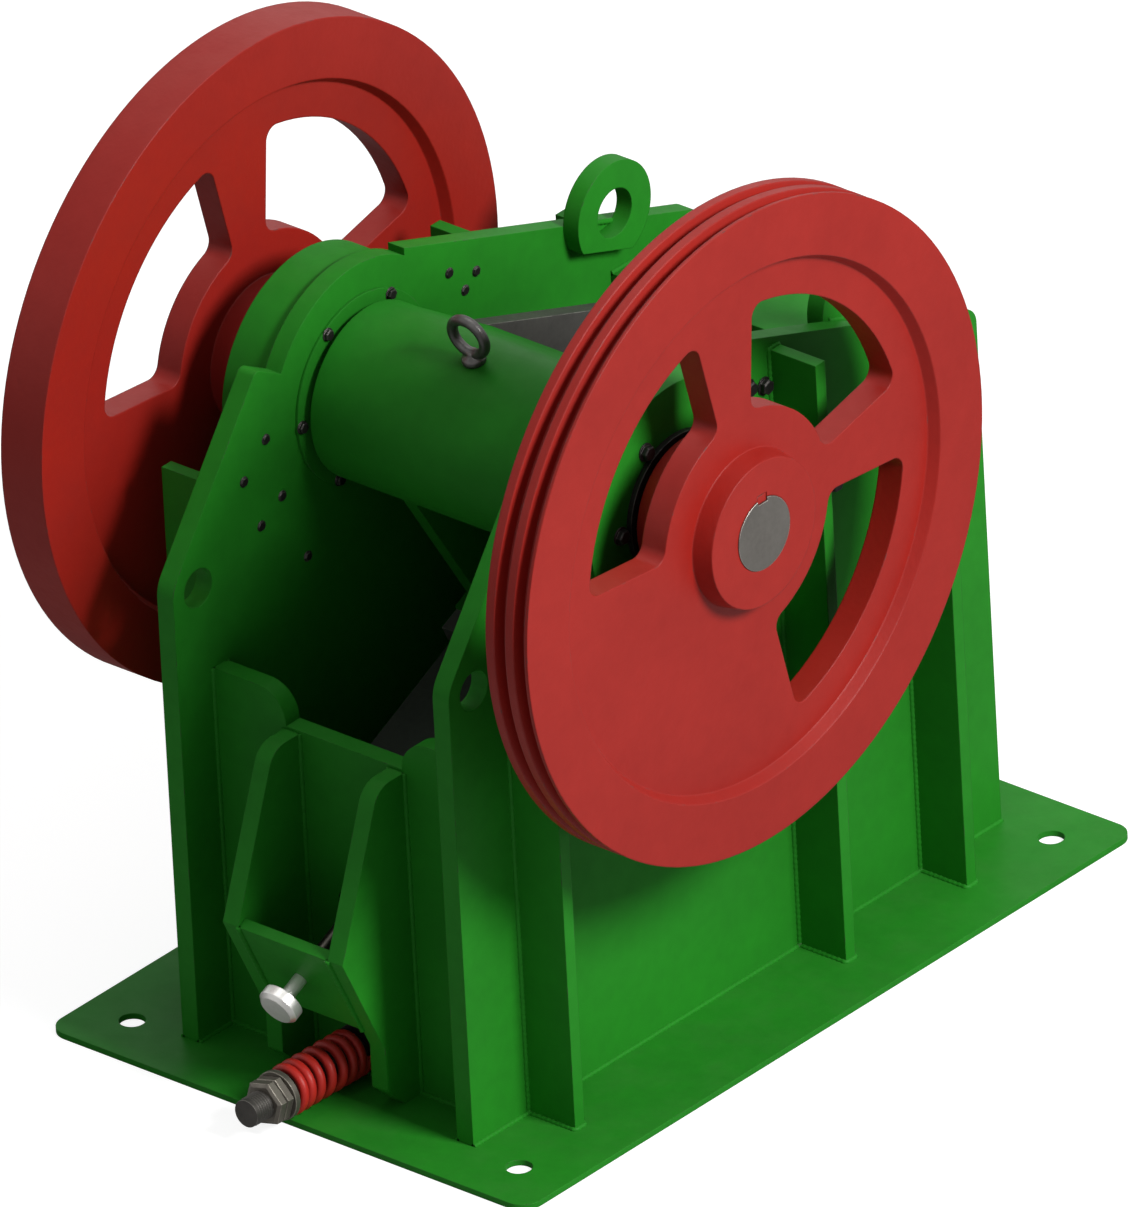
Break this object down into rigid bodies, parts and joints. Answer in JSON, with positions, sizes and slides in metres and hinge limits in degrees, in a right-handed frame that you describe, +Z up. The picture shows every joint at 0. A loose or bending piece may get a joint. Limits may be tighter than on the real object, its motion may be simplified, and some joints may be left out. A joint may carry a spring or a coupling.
{
  "type": "jaw crusher",
  "caption": "Small single-toggle jaw crusher with a welded plate frame, swing jaw, spoked flywheels, toggle line, tension rod and lifting lugs.",
  "frame": {"origin": "middle of the base plate's underside, at the centre of its four bolt holes", "axes": "+X along the shaft towards the grooved flywheel, +Y from the toggle end to the feed end, +Z up"},
  "size_m": [0.674, 0.9503, 0.919],
  "materials": {
    "body_paint": "satin green machine paint",
    "wheel_paint": "satin red machine paint",
    "machined_steel": "machined",
    "liner_steel": "as cast, dark",
    "dark_steel": "blackened",
    "plated_bolt": "bright zinc plate",
    "cast_toggle": "as cast"
  },
  "bodies": {
    "frame": {"base_plate": "body_paint", "left_side_plate": "body_paint", "right_side_plate": "body_paint", "left_rib_1": "body_paint", "left_rib_2": "body_paint", "left_rib_3": "body_paint", "left_bearing_housing": "body_paint", "left_bearing_cover": "dark_steel", "left_cheek_liner": "liner_steel", "left_lifting_lug": "body_paint", "right_rib_1": "body_paint", "right_rib_2": "body_paint", "right_rib_3": "body_paint", "right_bearing_housing": "body_paint", "right_bearing_cover": "dark_steel", "right_cheek_liner": "liner_steel", "right_lifting_lug": "body_paint", "front_wall": "body_paint", "front_rib_1": "body_paint", "front_rib_2": "body_paint", "front_rib_3": "body_paint", "front_deck": "body_paint", "fixed_jaw_plate": "liner_steel", "rear_wall": "body_paint", "left_bracket_rib": "body_paint", "right_bracket_rib": "body_paint", "bracket_plate": "body_paint", "adjusting_bolt": "plated_bolt", "seat_guide": "body_paint", "toggle_seat": "liner_steel", "toggle_plate": "cast_toggle", "spring_seat": "dark_steel", "tension_spring": "wheel_paint"},
    "swing_jaw": {"pitman": "body_paint", "moving_jaw_plate": "liner_steel", "jaw_toggle_seat": "liner_steel", "eye_bolt": "dark_steel", "rod_pin": "machined_steel"},
    "rod": {"tension_rod": "machined_steel", "spring_washer": "dark_steel", "rod_nut_1": "dark_steel", "rod_nut_2": "dark_steel"},
    "shaft": {"eccentric_shaft": "machined_steel", "left_flywheel": "wheel_paint", "right_flywheel": "wheel_paint"}
  },
  "joints": [
    {"name": "shaft_spin", "type": "hinge", "parent": "frame", "child": "shaft", "pos_m": [0, -0.104, 0.589], "axis": [1, 0, 0], "continuous": true},
    {"name": "jaw_swing", "type": "hinge", "parent": "frame", "child": "swing_jaw", "pos_m": [0, -0.104, 0.589], "axis": [1, 0, 0], "range_deg": [0, 1.2], "stiffness_Nm_per_rad": 20000, "springref_deg": -0.57, "deforming": ["tension_spring"]},
    {"name": "rod_tilt", "type": "hinge", "parent": "swing_jaw", "child": "rod", "pos_m": [0, 0.082, 0.023], "axis": [1, 0, 0], "range_deg": [-0.65, 0]}
  ],
  "couplings": [
    {"joint": "rod_tilt", "follows": "jaw_swing", "ratio": -0.515}
  ]
}
